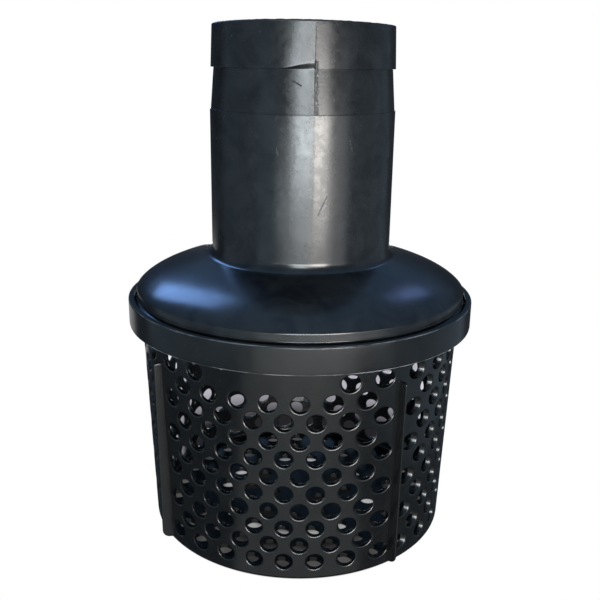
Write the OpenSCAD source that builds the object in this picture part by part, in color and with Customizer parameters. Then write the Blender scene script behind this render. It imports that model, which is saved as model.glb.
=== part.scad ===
// Foot valve for a suction hose, nominal 4 inch, moulded in black polypropylene.
// A perforated strainer basket stands at the bottom. A bell with a hose tail closes it at the top.
// Between them a spring-loaded disc lifts off a seat plate to let water in, and drops to hold it.
// Millimetres, +Z up along the valve's axis, origin in the middle of the strainer's flat base.

/* [Hose tail] */
// Outside diameter of the straight tail that the hose slides over
tail_d = 114; // [113:0.5:116]
// Bore at the mouth of the tail
bore_d = 101.6; // [99:0.1:102]
// Bore where the tail opens into the bell
throat_d = 106; // [104:0.5:106]
// Length of the straight tail, from the bell to the parting seam
tail_l = 85; // [80:1:100]
// Length of the cone that narrows from the seam to the lip
cone_l = 25.5; // [20:0.5:30]
// Outside diameter at the narrow end of the cone
neck_d = 109; // [108:0.5:110]
// Height of the lip around the mouth
lip_h = 24.5; // [20:0.5:30]
// Outside diameter at the lower edge of the lip
lip_d = 112.4; // [111:0.1:113]
// How much narrower the lip is at the top
lip_taper = 2; // [1:0.1:2]

/* [Bell] */
// Outside diameter of the bell's upright edge
bell_d = 211; // [210:0.5:212]
// Wall thickness of the bell
bell_wall = 4; // [3:0.5:4.5]
// Height of the foot of the tail above the base
tail_foot = 184.5; // [182:0.5:190]
// Height of the top of the bell's upright edge above the base
bell_edge = 159; // [158:0.5:161]
// Number of screw bosses under the bell
boss_count = 8; // [4:1:12]
// Pitch radius of the screw bosses
boss_pitch_r = 92; // [88:1:92]

/* [Strainer basket] */
// Outside diameter of the perforated wall at the base
wall_base_d = 195.6; // [192:0.2:197]
// Outside diameter of the perforated wall under the collar
wall_top_d = 205.6; // [203:0.2:206]
// Thickness of the perforated wall
wall_t = 3.2; // [2.4:0.2:3.4]
// Thickness of the perforated floor
floor_t = 3.2; // [2.4:0.2:4]
// Outside diameter of the collar
collar_d = 222; // [220:0.5:226]
// Height of the lower edge of the collar above the base
collar_low = 138; // [136:0.5:138]
// Height of the collar itself
collar_h = 15.2; // [15:0.1:16]
// Diameter of the strainer holes
hole_d = 10.4; // [8:0.2:11]
// Sideways distance from one staggered column of holes to the next
column_pitch = 9; // [8.6:0.1:9]
// Height from one row of holes to the next
row_pitch = 11.46; // [11.2:0.02:11.5]
// Height of the top row of holes above the base
top_row = 127.4; // [126:0.1:128]
// Height of the top of the four upright ribs above the base
rib_top = 123; // [120:1:134]
// Distance from the axis to the crest of a rib at its top
rib_top_r = 106.6; // [105:0.2:107]
// Distance from the axis to the crest of a rib near its foot
rib_foot_r = 105; // [103:0.2:106]
// Number of rings of holes in the floor
floor_rings = 5; // [3:1:5]

/* [Seat and disc] */
// Clear diameter of the port through the seat plate
port_d = 96; // [90:1:98]
// Height of the sealing lip above the base
seat_z = 145.5; // [145:0.1:146]
// Diameter of the disc's rubber face
disc_d = 110; // [108:0.5:110]
// Thickness of the rubber face
rubber_t = 4; // [3:0.5:4]
// How far the disc lifts off its seat
lift = 22; // [16:1:22]
// Diameter of the stem
stem_d = 12; // [11:0.1:12]

/* [Closing spring] */
// Length of the spring while the valve is closed
spring_l = 33; // [32:1:34]
// Wire diameter
wire_d = 1.8; // [1.4:0.1:2]
// Mean coil diameter
coil_d = 22; // [21.5:0.1:22]
// Number of turns
coil_turns = 6; // [5:1:6]

/* [Hidden] */
$fn = 96;

black_pp = "#17191c";
rubber_black = "#26241f";
steel = "#b9bcc0";
brass = "#c9a04e";

// Fine enough that nothing shows between two cuts that should meet
eps = 0.01;

// Heights of the tail's features
seam_z = tail_foot + tail_l;
neck_z = seam_z + cone_l;
top_z = neck_z + lip_h;
tail_r = tail_d / 2;
throat_r = throat_d / 2;
bore_r = bore_d / 2;

// The bell's skirt reaches down inside the collar and is held there by a snap bead
bell_r = bell_d / 2;
collar_r = collar_d / 2;
collar_top = collar_low + collar_h;
ledge_z = collar_low + 4;
skirt_low = ledge_z + 6;
skirt_in_r = bell_r - bell_wall;
bead_z = skirt_low + 2.4;
bead_out = 0.9;
bead_h = 1.6;
snap_gap = 0.2;

// The bell's outer curve, from the foot of the tail to its upright edge
bell_curve = [
    [tail_r, tail_foot],
    [tail_r + 7, tail_foot - 7.5],
    [bell_r - 10.5, bell_edge + 11],
    [bell_r, bell_edge]
];
bell_steps = 14;

function bezier(p, t) =
    pow(1 - t, 3) * p[0] + 3 * t * pow(1 - t, 2) * p[1] + 3 * t * t * (1 - t) * p[2] + t * t * t * p[3];
function bezier_slope(p, t) =
    3 * pow(1 - t, 2) * (p[1] - p[0]) + 6 * t * (1 - t) * (p[2] - p[1]) + 3 * t * t * (p[3] - p[2]);
// A point on the bell's curve moved towards the inside by a depth
function under_bell(t, depth) =
    let (s = bezier_slope(bell_curve, t))
    bezier(bell_curve, t) + depth / norm(s) * [s[1], -s[0]];

// The perforated wall leans out by this much for each millimetre of height
wall_base_r = wall_base_d / 2;
wall_lean = (wall_top_d - wall_base_d) / 2 / collar_low;
base_round = 4.5;
inner_round = 3;
// Radius of the wall's outside at a height
function wall_r(z) = wall_base_r + wall_lean * z;
// Points of a quarter round about a centre, between two angles
function round_points(c, r, from, to, steps = 6) =
    [for (k = [0:steps]) c + r * [cos(from + (to - from) * k / steps), sin(from + (to - from) * k / steps)]];

// Holes are drilled square to each of the four sides, as a slide of the mould makes them
hole_rows = 11;
hole_columns = 7;
blank_columns = 3;
drill_in = 64;
drill_out = collar_r;

// The floor's holes lie on rings around a solid centre, evenly spread along each ring
floor_ring_pitch = 16.8;
floor_hole_pitch = 19.5;
// How far each ring is turned from having a hole straight ahead, in degrees
floor_ring_turns = [0, 6, -1.5, -5, 3.5];

// A rib is a thin blade, a little thicker at the wall, with a rounded lower corner.
// Its section is half its thickness at each distance from the axis.
rib_low = 3;
rib_corner = 6;
rib_section = [[wall_base_r - wall_t, 1.5], [wall_base_r + 1.2, 1.5], [collar_r, 0.7]];

// Seat plate: a flange on the basket's ledge, a flat web, and a port with a four-armed guide
port_r = port_d / 2;
port_wall = 4;
lip_w = 3;
web_t = 4;
web_top = ledge_z + 1;
web_low = web_top - web_t;
web_r = wall_r(ledge_z) - wall_t - 1.2;
flange_r = bell_r - 0.1;
flange_top = ledge_z + 4;
port_low = 123;
arm_w = 5;
arm_low = 125;
arm_top = 135;
hub_r = 14;
hub_low = 120;
hub_top = 137;
web_rib_w = 3;
web_rib_low = web_low - 7;
bush_r = 8.5;
bush_flange_r = 11;
bush_flange_t = 1.5;

// Screws that hold the seat plate up against the bosses
screw_r = 2;
screw_clear_r = 2.3;
screw_bite = 14;
boss_r = 5;
boss_web = 3;
screw_head_r = 4;
screw_head_h = 2.8;
screw_washer_r = 5;
screw_washer_t = 1.2;

// Disc assembly, stacked on the stem from its collar upwards
stem_r = stem_d / 2;
stem_run = 0.05;
thread_r = 5;
thread_gap = 0.1;
clamp_r = 42;
clamp_t = 3;
stem_collar_r = 9;
stem_collar_t = 3;
disc_r = disc_d / 2;
plate_z = seat_z + rubber_t;
plate_t = 5;
plate_boss_r = 14;
plate_boss_h = 3;
plate_rib_w = 3;
plate_rib_h = 2.4;
nut_flats = 17;
washer_t = 2;
washer_r = 11;
top_washer_z = plate_z + plate_t + plate_boss_h;
top_nut_z = top_washer_z + washer_t;
top_nut_h = 8;
stem_top = top_nut_z + top_nut_h + 3;

// Spring, its cup, and the sleeve that stops the lift, hung below the guide
cup_z = hub_low - spring_l;
cup_t = 1.5;
cup_rim_r = coil_d / 2 + wire_d / 2 + 2.6;
cup_rim_t = 1.2;
cup_rim_h = 3;
sleeve_r = 8.4;
sleeve_l = spring_l - lift - 0.1;
lower_washer_t = 1.5;
lock_nut_h = 7.2;
lock_nut_z = cup_z - cup_t - lower_washer_t - lock_nut_h;
stem_low = lock_nut_z - 1;

// A ring about the Z axis
module ring(outer_r, inner_r, z, h) {
    translate([0, 0, z])
        difference() {
            cylinder(r = outer_r, h = h);
            translate([0, 0, -1])
                cylinder(r = inner_r, h = h + 2);
        }
}

// A hexagon nut with its corners turned off top and bottom
module hex_nut(z, h) {
    corner_r = nut_flats / 2 / cos(30);
    chamfer = 1;
    difference() {
        intersection() {
            translate([0, 0, z])
                cylinder(r = corner_r, h = h, $fn = 6);
            rotate_extrude()
                polygon([
                    [0, z], [corner_r - chamfer, z], [corner_r + eps, z + chamfer],
                    [corner_r + eps, z + h - chamfer], [corner_r - chamfer, z + h], [0, z + h]
                ]);
        }
        translate([0, 0, z - 1])
            cylinder(r = thread_r, h = h + 2);
    }
}

// Places its children once for each screw
module at_screws() {
    for (k = [0:boss_count - 1])
        rotate([0, 0, (k + 0.5) * 360 / boss_count])
            translate([boss_pitch_r, 0, 0])
                children();
}

// Space under the middle of the bell's wall, which the bosses fill up to
module under_bell_space() {
    rotate_extrude()
        polygon(concat(
            [[0, web_top], [bell_r - bell_wall / 2, web_top]],
            [for (k = [bell_steps:-1:0]) under_bell(k / bell_steps, bell_wall / 2)],
            [[0, tail_foot - bell_wall / 2]]
        ));
}

// Hose tail, bell and skirt in one moulding
module upper_body() {
    outline = concat(
        [[skirt_in_r, skirt_low], [bell_r, skirt_low]],
        [[bell_r, bead_z - bead_out], [bell_r + bead_out, bead_z]],
        [[bell_r + bead_out, bead_z + bead_h], [bell_r, bead_z + bead_h + bead_out]],
        [for (k = [bell_steps:-1:0]) bezier(bell_curve, k / bell_steps)],
        [[tail_r, seam_z], [neck_d / 2, neck_z], [lip_d / 2, neck_z]],
        [[lip_d / 2 - lip_taper / 2, top_z - 0.6], [lip_d / 2 - lip_taper / 2 - 0.6, top_z]],
        [[bore_r, top_z], [bore_r, seam_z], [throat_r, tail_foot]],
        [for (k = [0:bell_steps]) under_bell(k / bell_steps, bell_wall)],
        [[skirt_in_r, bell_edge - bell_wall - 1]]
    );
    color(black_pp)
        difference() {
            union() {
                rotate_extrude()
                    polygon(outline);
                intersection() {
                    under_bell_space();
                    at_screws() {
                        translate([0, 0, web_top])
                            cylinder(r = boss_r, h = bell_edge);
                        translate([0, -boss_web / 2, skirt_low + 1])
                            cube([bell_r - boss_pitch_r, boss_web, bell_edge]);
                    }
                }
            }
            at_screws()
                translate([0, 0, web_top - 1])
                    cylinder(r = screw_r, h = screw_bite + 1);
        }
}

// One side's holes, drilled in from the front, with room for a blank field in the top row
module side_holes(blank) {
    for (row = [0:hole_rows - 1], i = [-hole_columns:hole_columns]) {
        staggered = (row + i) % 2 != 0;
        in_blank = blank && row == 0 && abs(i) <= blank_columns;
        if (staggered && !in_blank)
            translate([i * column_pitch, -drill_in, top_row - row * row_pitch])
                rotate([90, 0, 0])
                    cylinder(d = hole_d, h = drill_out - drill_in);
    }
}

// Holes of the floor, in rings about the middle
module floor_holes() {
    for (k = [1:floor_rings]) {
        ring_r = k * floor_ring_pitch;
        count = round(2 * PI * ring_r / floor_hole_pitch);
        for (i = [0:count - 1])
            rotate([0, 0, floor_ring_turns[k - 1] + i * 360 / count])
                translate([0, -ring_r, -1])
                    cylinder(d = hole_d, h = floor_t + 2);
    }
}

// A rib up a corner between two sides: its section, cut to its outline seen from the side
module corner_rib() {
    last = len(rib_section) - 1;
    reach = rib_section[0][1] + 1;
    outline = concat(
        [[wall_r(rib_low) - wall_t / 2, rib_low]],
        round_points([rib_foot_r - rib_corner, rib_low + rib_corner], rib_corner, -90, 0),
        [[rib_top_r, rib_top - 1], [rib_top_r - 1, rib_top]],
        [[wall_r(rib_top) - wall_t / 2, rib_top]]
    );
    intersection() {
        linear_extrude(height = collar_low)
            polygon(concat(
                rib_section,
                [for (k = [last:-1:0]) [rib_section[k][0], -rib_section[k][1]]]
            ));
        translate([0, reach, 0])
            rotate([90, 0, 0])
                linear_extrude(height = 2 * reach)
                    polygon(outline);
    }
}

// Perforated basket: floor, wall, ribs and the collar that takes the bell's skirt
module strainer_basket() {
    bore = bell_r + snap_gap;
    groove = bead_out + snap_gap;
    inner_z = floor_t + inner_round;
    base_c = [wall_r(base_round) - base_round, base_round];
    inner_c = [wall_r(inner_z) - wall_t - inner_round, inner_z];
    outline = concat(
        [[0, 0]],
        round_points(base_c, base_round, -90, 0),
        [[wall_r(collar_low), collar_low]],
        [[collar_r - 0.8, collar_low], [collar_r, collar_low + 0.8]],
        round_points([collar_r - 1, collar_top - 1], 1, 0, 90, 3),
        [[bore, collar_top], [bore, bead_z + bead_h + groove]],
        [[bore + groove, bead_z + bead_h], [bore + groove, bead_z], [bore, bead_z - groove]],
        [[bore, ledge_z], [wall_r(ledge_z) - wall_t, ledge_z]],
        round_points(inner_c, inner_round, 0, -90),
        [[0, floor_t]]
    );
    color(black_pp)
        difference() {
            union() {
                rotate_extrude()
                    polygon(outline);
                for (a = [45:90:315])
                    rotate([0, 0, a])
                        corner_rib();
            }
            for (side = [0:3])
                rotate([0, 0, side * 90])
                    side_holes(blank = side == 0);
            floor_holes();
        }
}

// Plate that carries the sealing lip and guides the stem
module seat_plate() {
    outline = [
        [port_r, port_low], [port_r + port_wall, port_low], [port_r + port_wall, web_low],
        [web_r, web_low], [web_r, ledge_z], [flange_r, ledge_z], [flange_r, flange_top],
        [flange_r - 5, flange_top], [web_r - 0.5, web_top], [port_r + port_wall + 1, web_top],
        [port_r + lip_w, seat_z], [port_r, seat_z]
    ];
    color(black_pp)
        difference() {
            union() {
                rotate_extrude()
                    polygon(outline);
                translate([0, 0, hub_low])
                    cylinder(r = hub_r, h = hub_top - hub_low);
                for (a = [0:90:270])
                    rotate([0, 0, a])
                        translate([0, -arm_w / 2, arm_low])
                            cube([port_r + port_wall / 2, arm_w, arm_top - arm_low]);
                for (k = [0:boss_count - 1])
                    rotate([0, 0, k * 360 / boss_count])
                        translate([port_r + port_wall / 2, -web_rib_w / 2, web_rib_low])
                            cube([web_r - port_r - port_wall / 2 - 2, web_rib_w, web_t + web_low - web_rib_low]);
            }
            translate([0, 0, hub_low - 1])
                cylinder(r = bush_r, h = hub_top - hub_low + 2);
            at_screws()
                translate([0, 0, web_low - 1])
                    cylinder(r = screw_clear_r, h = web_t + 2);
        }
}

// Flat seal between the seat plate's flange and the end of the bell's skirt
module body_gasket() {
    color(rubber_black)
        ring(flange_r, skirt_in_r, flange_top, skirt_low - flange_top);
}

// Self-tapping pan-head screws, driven up through the web into the bosses
module seat_screws() {
    head_z = web_low - screw_washer_t - screw_head_h;
    color(steel)
        at_screws()
            rotate_extrude()
                polygon([
                    [0, head_z], [screw_head_r - 1, head_z], [screw_head_r, head_z + 1],
                    [screw_head_r, head_z + screw_head_h], [screw_r, head_z + screw_head_h],
                    [screw_r, web_top + screw_bite - 2], [0, web_top + screw_bite - 0.5]
                ]);
}

// Washers under the screw heads
module screw_washers() {
    color(steel)
        at_screws()
            ring(screw_washer_r, screw_r, web_low - screw_washer_t, screw_washer_t);
}

// Flanged bush pressed into the hub, in which the stem slides
module guide_bush() {
    color(brass)
        difference() {
            union() {
                translate([0, 0, hub_low])
                    cylinder(r = bush_r, h = hub_top - hub_low);
                translate([0, 0, hub_top])
                    cylinder(r = bush_flange_r, h = bush_flange_t);
            }
            translate([0, 0, hub_low - 1])
                cylinder(r = stem_r + stem_run, h = hub_top - hub_low + bush_flange_t + 2);
        }
}

// Stem: threaded ends, a plain sliding length, and a collar that carries the disc
module valve_stem() {
    collar_z = seat_z - clamp_t - stem_collar_t;
    color(steel)
        rotate_extrude()
            polygon([
                [0, stem_low], [thread_r - 1, stem_low], [thread_r, stem_low + 1], [thread_r, cup_z],
                [stem_r, cup_z], [stem_r, collar_z], [stem_collar_r, collar_z],
                [stem_collar_r, collar_z + stem_collar_t], [thread_r, collar_z + stem_collar_t],
                [thread_r, stem_top - 1], [thread_r - 1, stem_top], [0, stem_top]
            ]);
}

// Metal plate that clamps the rubber face from below, inside the port
module clamp_plate() {
    color(steel)
        ring(clamp_r, thread_r, seat_z - clamp_t, clamp_t);
}

// Rubber face that closes on the lip
module disc_rubber() {
    color(rubber_black)
        ring(disc_r, thread_r, seat_z, rubber_t);
}

// Stiff disc on top of the rubber, ribbed, with a boss for the washer
module valve_disc() {
    boss_z = plate_z + plate_t + plate_boss_h;
    rim_r = disc_r - 1;
    rib_reach = rim_r - 6;
    color(black_pp)
        difference() {
            union() {
                rotate_extrude()
                    polygon([
                        [0, plate_z], [rim_r, plate_z], [rim_r, plate_z + plate_t - 2],
                        [rim_r - 2, plate_z + plate_t], [plate_boss_r + 2, plate_z + plate_t],
                        [plate_boss_r, boss_z], [0, boss_z]
                    ]);
                for (a = [0:45:315])
                    rotate([0, 0, a])
                        translate([0, -plate_rib_w / 2, plate_z + plate_t - 1])
                            cube([rib_reach, plate_rib_w, plate_rib_h + 1]);
            }
            translate([0, 0, plate_z - 1])
                cylinder(r = thread_r, h = boss_z - plate_z + 2);
        }
}

module top_washer() {
    color(steel)
        ring(washer_r, thread_r, top_washer_z, washer_t);
}

module top_nut() {
    color(steel)
        hex_nut(top_nut_z, top_nut_h);
}

// Helical spring: a round wire swept along a helix whose end turns lie close together
module closing_spring() {
    sides = 8;
    per_turn = 20;
    rings = coil_turns * per_turn;
    low = cup_z + wire_d / 2;
    high = hub_low - wire_d / 2;
    end_turns = 1;
    end_rise = wire_d * 1.1;
    // Height of the wire's centre after a number of turns
    function coil_z(turns) =
        turns < end_turns ? low + turns * end_rise :
        turns > coil_turns - end_turns ? high - (coil_turns - turns) * end_rise :
        low + end_rise + (turns - end_turns) / (coil_turns - 2 * end_turns) * (high - low - 2 * end_rise);
    points = [
        for (k = [0:rings], s = [0:sides - 1])
            let (turn = k / per_turn, w = s * 360 / sides, r = coil_d / 2 + wire_d / 2 * cos(w))
                [r * cos(turn * 360), r * sin(turn * 360), coil_z(turn) + wire_d / 2 * sin(w)]
    ];
    walls = [
        for (k = [0:rings - 1], s = [0:sides - 1])
            let (n = (s + 1) % sides)
                [k * sides + s, k * sides + n, (k + 1) * sides + n, (k + 1) * sides + s]
    ];
    color(steel)
        polyhedron(
            points = points,
            faces = concat(
                walls,
                [[for (s = [sides - 1:-1:0]) s], [for (s = [0:sides - 1]) rings * sides + s]]
            )
        );
}

// Pressed cup that carries the spring's lower end
module spring_cup() {
    low = cup_z - cup_t;
    color(steel)
        rotate_extrude()
            polygon([
                [thread_r, low], [cup_rim_r, low], [cup_rim_r, cup_z + cup_rim_h],
                [cup_rim_r - cup_rim_t, cup_z + cup_rim_h], [cup_rim_r - cup_rim_t, cup_z],
                [thread_r, cup_z]
            ]);
}

// Loose sleeve that meets the bush when the disc is fully up
module lift_stop_sleeve() {
    color(brass)
        ring(sleeve_r, stem_r + thread_gap, cup_z, sleeve_l);
}

module lower_washer() {
    color(steel)
        ring(washer_r - 1, thread_r, cup_z - cup_t - lower_washer_t, lower_washer_t);
}

module lock_nut() {
    color(steel)
        hex_nut(lock_nut_z, lock_nut_h);
}

upper_body();
strainer_basket();
seat_plate();
body_gasket();
seat_screws();
screw_washers();
guide_bush();
valve_stem();
clamp_plate();
disc_rubber();
valve_disc();
top_washer();
top_nut();
closing_spring();
spring_cup();
lift_stop_sleeve();
lower_washer();
lock_nut();
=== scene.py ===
"""Looks of a foot valve: hose tail and bell, perforated strainer basket, and the lift disc inside.

Sizes are in millimetres, in the frame of the CAD model. They become metres when a mesh is made.
Angles around the axis are in degrees from the front, -Y, towards the right, +X.
"""
import math

import bmesh
import bpy
import numpy as np
from mathutils import Matrix, Vector, noise
from mathutils.geometry import delaunay_2d_cdt


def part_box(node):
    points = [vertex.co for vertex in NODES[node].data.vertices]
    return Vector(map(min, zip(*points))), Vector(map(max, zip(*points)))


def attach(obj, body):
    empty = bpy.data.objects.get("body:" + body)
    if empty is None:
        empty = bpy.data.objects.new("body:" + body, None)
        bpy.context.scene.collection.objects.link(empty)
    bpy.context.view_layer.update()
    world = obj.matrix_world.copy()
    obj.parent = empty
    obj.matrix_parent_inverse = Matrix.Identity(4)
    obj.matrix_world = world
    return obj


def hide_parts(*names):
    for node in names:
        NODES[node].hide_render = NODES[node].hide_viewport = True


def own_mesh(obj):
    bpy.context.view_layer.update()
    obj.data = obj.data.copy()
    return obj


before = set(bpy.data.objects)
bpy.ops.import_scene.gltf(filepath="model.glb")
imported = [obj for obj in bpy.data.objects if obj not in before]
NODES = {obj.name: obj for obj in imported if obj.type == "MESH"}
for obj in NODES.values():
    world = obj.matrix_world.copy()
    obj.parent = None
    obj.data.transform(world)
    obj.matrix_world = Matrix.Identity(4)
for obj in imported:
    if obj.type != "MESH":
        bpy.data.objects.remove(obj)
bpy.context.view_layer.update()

MM = 0.001


def cad_box(node):
    """Lowest and highest corner of a CAD node, in millimetres."""
    low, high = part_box(node)
    return low / MM, high / MM


# ---------------------------------------------------------------- sizes

body_low, body_high = cad_box("upper_body")
basket_high = cad_box("strainer_basket")[1]
stem_low, stem_high = cad_box("valve_stem")
spring_low, spring_high = cad_box("closing_spring")
screws_low, screws_high = cad_box("seat_screws")
collar_seat_z = cad_box("clamp_plate")[0].z
cup_z = spring_low.z

# Hose tail: a straight length up to the seam, a cone up to the lip, and the lip
TAIL_R = 57.0
THROAT_R = 53.0
BORE_R = 50.8
FOOT_Z = 184.5
SEAM_Z = 269.5
NECK_R = 54.5
LIP_R = 56.2
LIP_STEP_Z = 293.4
RIM_R = 55.2
RIM_Z = body_high.z

# Bell, its upright edge, and the skirt inside the collar with its snap bead
BELL_R = 105.5
BELL_WALL = 4.0
BELL_EDGE = 159.0
SKIRT_LOW = body_low.z
BEAD_Z = 149.5

# The two halves of the mould met along this line, and behind it
MOULD_LINE = 16.4

# Strainer basket
COLLAR_R = basket_high.x
COLLAR_LOW = 137.2
COLLAR_TOP = basket_high.z
LEDGE_Z = 142.0
WALL_BASE_R = 97.8
WALL_LEAN = 5.0 / 138
WALL_T = 3.2
FLOOR_T = 3.2
BASE_ROUND = 3.0
INNER_ROUND = 3.0
HOLE_R = 5.2
COLUMN_PITCH = 9.0
ROW_PITCH = 11.46
TOP_ROW = 127.4
ROWS = 11
LAST_COLUMN = 7
LAST_BLANK_COLUMN = 3
FLOOR_RING_PITCH = 16.8
FLOOR_HOLE_PITCH = 19.5
FLOOR_RING_TURNS = (0, 6, -1.5, -5, 3.5)
RIB_LOW = 3.0
RIB_TOP = 123.0
RIB_TOP_R = 106.6
RIB_FOOT_R = 105.0
RIB_CORNER = 6.0

# Screws, and their bosses under the bell
SCREWS = 8
BOSS_PITCH_R = 92.0
BOSS_R = 5.0
BOSS_LOW = 143.0


# ---------------------------------------------------------------- meshes

class Builder:
    """Collects points and faces. A point may carry the exact normal of the smooth surface it is on."""

    def __init__(self):
        self.points = []
        self.faces = []
        self.exact = {}

    def add(self, point, normal=None):
        self.points.append(tuple(point))
        if normal is not None:
            self.exact[len(self.points) - 1] = tuple(normal)
        return len(self.points) - 1

    def add_all(self, points):
        return [self.add(p) for p in points]

    def strip(self, lower, upper, closed=True):
        """Quads between two rows of points."""
        count = len(lower)
        for k in range(count if closed else count - 1):
            n = (k + 1) % count
            self.faces.append((lower[k], lower[n], upper[n], upper[k]))

    def skin(self, rows, inward=False):
        """Quads between each row of points and the next."""
        for one, other in zip(rows, rows[1:]):
            self.strip(*((other, one) if inward else (one, other)))

    def turned(self, other, quarter_turns):
        """Adds another builder's mesh, turned by quarter turns about the axis."""
        c, s = [(1, 0), (0, 1), (-1, 0), (0, -1)][quarter_turns % 4]
        start = len(self.points)
        self.points += [(c * x - s * y, s * x + c * y, z) for x, y, z in other.points]
        self.faces += [tuple(i + start for i in face) for face in other.faces]
        for i, (x, y, z) in other.exact.items():
            self.exact[i + start] = (c * x - s * y, s * x + c * y, z)

    def make(self, name, sharp=38):
        """Makes the object: near points are joined, and faces are smooth up to the sharp angle."""
        weld = 0.003
        exact = np.zeros((len(self.points), 3))
        for i, normal in self.exact.items():
            exact[i] = normal
        mesh = bpy.data.meshes.new(name)
        mesh.from_pydata((np.array(self.points) * MM).tolist(), [], self.faces)
        mesh.attributes.new("exact", "FLOAT_VECTOR", "POINT").data.foreach_set("vector", exact.ravel())
        edit = bmesh.new()
        edit.from_mesh(mesh)
        bmesh.ops.remove_doubles(edit, verts=edit.verts, dist=weld * MM)
        bmesh.ops.recalc_face_normals(edit, faces=edit.faces)
        edit.to_mesh(mesh)
        edit.free()
        exact = np.empty(len(mesh.vertices) * 3)
        mesh.attributes["exact"].data.foreach_get("vector", exact)
        mesh.attributes.remove(mesh.attributes["exact"])
        set_normals(mesh, exact.reshape(-1, 3), sharp)
        return in_scene(name, mesh)


def set_normals(mesh, exact, sharp):
    """Smooth shading: exact normals where known, else the weighted mean of the nearly level faces."""
    loop_count = len(mesh.loops)
    face_count = len(mesh.polygons)
    vertex = np.empty(loop_count, np.int32)
    mesh.loops.foreach_get("vertex_index", vertex)
    total = np.empty(face_count, np.int32)
    mesh.polygons.foreach_get("loop_total", total)
    face_normal = np.empty(face_count * 3)
    mesh.polygons.foreach_get("normal", face_normal)
    area = np.empty(face_count)
    mesh.polygons.foreach_get("area", area)
    face = np.repeat(np.arange(face_count), total)
    normal = face_normal.reshape(-1, 3)[face]
    weight = area[face]

    order = np.argsort(vertex, kind="stable")
    sorted_vertex = vertex[order]
    start = np.searchsorted(sorted_vertex, sorted_vertex, side="left")
    size = np.searchsorted(sorted_vertex, sorted_vertex, side="right") - start
    one = np.repeat(np.arange(loop_count), size)
    offset = np.arange(len(one)) - np.repeat(np.cumsum(size) - size, size)
    one, other = order[one], order[np.repeat(start, size) + offset]
    level = np.einsum("ij,ij->i", normal[one], normal[other]) > math.cos(math.radians(sharp))
    one, other = one[level], other[level]
    corner = np.stack([
        np.bincount(one, weight[other] * normal[other, axis], loop_count) for axis in range(3)
    ], axis=1)
    corner /= np.maximum(np.linalg.norm(corner, axis=1, keepdims=True), 1e-20)

    known = exact[vertex]
    use = np.einsum("ij,ij->i", known, normal) > math.cos(math.radians(sharp))
    corner[use] = known[use]
    mesh.polygons.foreach_set("use_smooth", np.ones(face_count, bool))
    mesh.normals_split_custom_set(corner.tolist())


def in_scene(name, data):
    """A new object, linked to the scene."""
    made = bpy.data.objects.new(name, data)
    bpy.context.scene.collection.objects.link(made)
    return made


def around(radius, angle, z):
    """The point at a distance from the axis, at an angle from the front."""
    a = math.radians(angle)
    return (radius * math.sin(a), -radius * math.cos(a), z)


def arc(centre, radius, start, end, steps):
    """Points (r, z) along a round stretch of a profile, with angles from outwards towards up."""
    turns = [math.radians(start + (end - start) * k / steps) for k in range(steps + 1)]
    return [(centre[0] + radius * math.cos(t), centre[1] + radius * math.sin(t)) for t in turns]


def circle_points(radius, count, centre=(0, 0)):
    """Points (x, y) spread evenly around a circle."""
    turns = [2 * math.pi * k / count for k in range(count)]
    return [(centre[0] + radius * math.cos(a), centre[1] + radius * math.sin(a)) for a in turns]


def smooth(t):
    """Eases from 0 to 1, level at both ends."""
    t = min(max(t, 0), 1)
    return t * t * (3 - 2 * t)


def rough(*place):
    """Repeatable noise between about -1 and 1."""
    return noise.noise(Vector(place))


def finish_piece(piece, body, slot, material, *replaced):
    piece.data.materials.append(material)
    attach(piece, body)
    if replaced:
        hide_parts(*replaced)
    return piece


# ---------------------------------------------------------------- materials

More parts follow.
